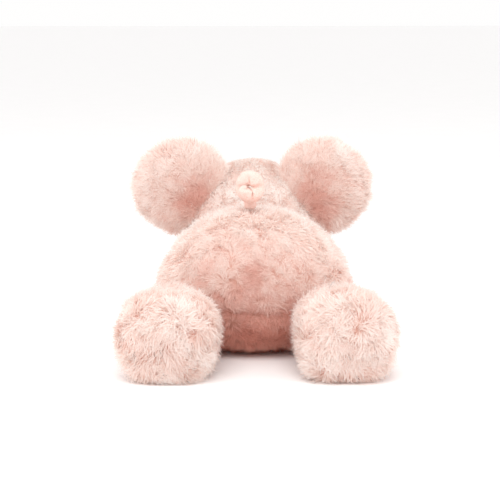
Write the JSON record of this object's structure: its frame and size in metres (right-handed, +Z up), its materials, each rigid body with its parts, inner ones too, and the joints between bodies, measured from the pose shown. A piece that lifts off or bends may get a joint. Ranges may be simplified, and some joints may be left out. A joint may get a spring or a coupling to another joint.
{
  "type": "plush mouse",
  "caption": "Soft toy mouse lying on its belly, with fluffy round ears, big furry feet and a short curled tail.",
  "frame": {"origin": "On the floor, under the middle of the whole toy.", "axes": "+Z up, -Y the way the mouse looks, +X to the mouse's own left; the soles of its feet face +Y."},
  "size_m": [0.1942, 0.323, 0.1466],
  "materials": {
    "long_pile_fur": "matte",
    "short_pile_fur": "matte",
    "sole_fur": "matte",
    "velour": "matte",
    "nose_velour": "matte",
    "polyester_filling": "matte",
    "pouch_cloth": "matte",
    "eye_plastic": "gloss",
    "washer_plastic": "matte"
  },
  "bodies": {
    "body": {"body_back_left": "long_pile_fur", "body_back_right": "long_pile_fur", "belly_panel": "long_pile_fur", "body_filling": "polyester_filling", "body_bean_pouch": "pouch_cloth"},
    "head": {"head_side_left": "short_pile_fur", "head_side_right": "short_pile_fur", "head_gusset": "short_pile_fur", "chin_panel": "short_pile_fur", "head_filling": "polyester_filling", "eye_left": "eye_plastic", "eye_right": "eye_plastic", "eye_washer_left": "washer_plastic", "eye_washer_right": "washer_plastic", "nose": "nose_velour"},
    "ear_left": {"ear_back_left": "long_pile_fur", "ear_lining_left": "velour", "ear_wadding_left": "polyester_filling"},
    "leg_left": {"leg_sleeve_left": "long_pile_fur", "foot_sole_left": "sole_fur", "leg_filling_left": "polyester_filling", "leg_bean_pouch_left": "pouch_cloth"},
    "arm_left": {"arm_sleeve_left": "long_pile_fur", "paw_sole_left": "sole_fur", "arm_filling_left": "polyester_filling", "arm_bean_pouch_left": "pouch_cloth"},
    "ear_right": {"ear_back_right": "long_pile_fur", "ear_lining_right": "velour", "ear_wadding_right": "polyester_filling"},
    "leg_right": {"leg_sleeve_right": "long_pile_fur", "foot_sole_right": "sole_fur", "leg_filling_right": "polyester_filling", "leg_bean_pouch_right": "pouch_cloth"},
    "arm_right": {"arm_sleeve_right": "long_pile_fur", "paw_sole_right": "sole_fur", "arm_filling_right": "polyester_filling", "arm_bean_pouch_right": "pouch_cloth"},
    "tail": {"tail": "velour"}
  },
  "joints": [
    {"name": "head_nod", "type": "hinge", "parent": "body", "child": "head", "pos_m": [0, -0.046, 0.056], "axis": [-1, 0, 0], "range_deg": [-2, 20], "stiffness_Nm_per_rad": 0.6, "springref_deg": 2.58},
    {"name": "ear_fold_left", "type": "hinge", "parent": "head", "child": "ear_left", "pos_m": [0.046, -0.066, 0.099], "axis": [0.5621, 0, -0.8271], "range_deg": [-22, 22], "stiffness_Nm_per_rad": 0.03},
    {"name": "leg_splay_left", "type": "hinge", "parent": "body", "child": "leg_left", "pos_m": [0.056, 0.072, 0.03], "axis": [0, 0, -1], "range_deg": [-6, 28]},
    {"name": "arm_swing_left", "type": "hinge", "parent": "body", "child": "arm_left", "pos_m": [0.054, -0.05, 0.017], "axis": [0, 0, 1], "range_deg": [-1, 35]},
    {"name": "ear_fold_right", "type": "hinge", "parent": "head", "child": "ear_right", "pos_m": [-0.046, -0.066, 0.099], "axis": [-0.5621, 0, -0.8271], "range_deg": [-22, 22], "stiffness_Nm_per_rad": 0.03},
    {"name": "leg_splay_right", "type": "hinge", "parent": "body", "child": "leg_right", "pos_m": [-0.056, 0.072, 0.03], "axis": [0, 0, 1], "range_deg": [-6, 28]},
    {"name": "arm_swing_right", "type": "hinge", "parent": "body", "child": "arm_right", "pos_m": [-0.054, -0.05, 0.017], "axis": [0, 0, -1], "range_deg": [-1, 35]},
    {"name": "tail_wag", "type": "hinge", "parent": "body", "child": "tail", "pos_m": [0.003, 0.03, 0.1082], "axis": [0, 1, 0], "range_deg": [-30, 30], "stiffness_Nm_per_rad": 0.006}
  ]
}
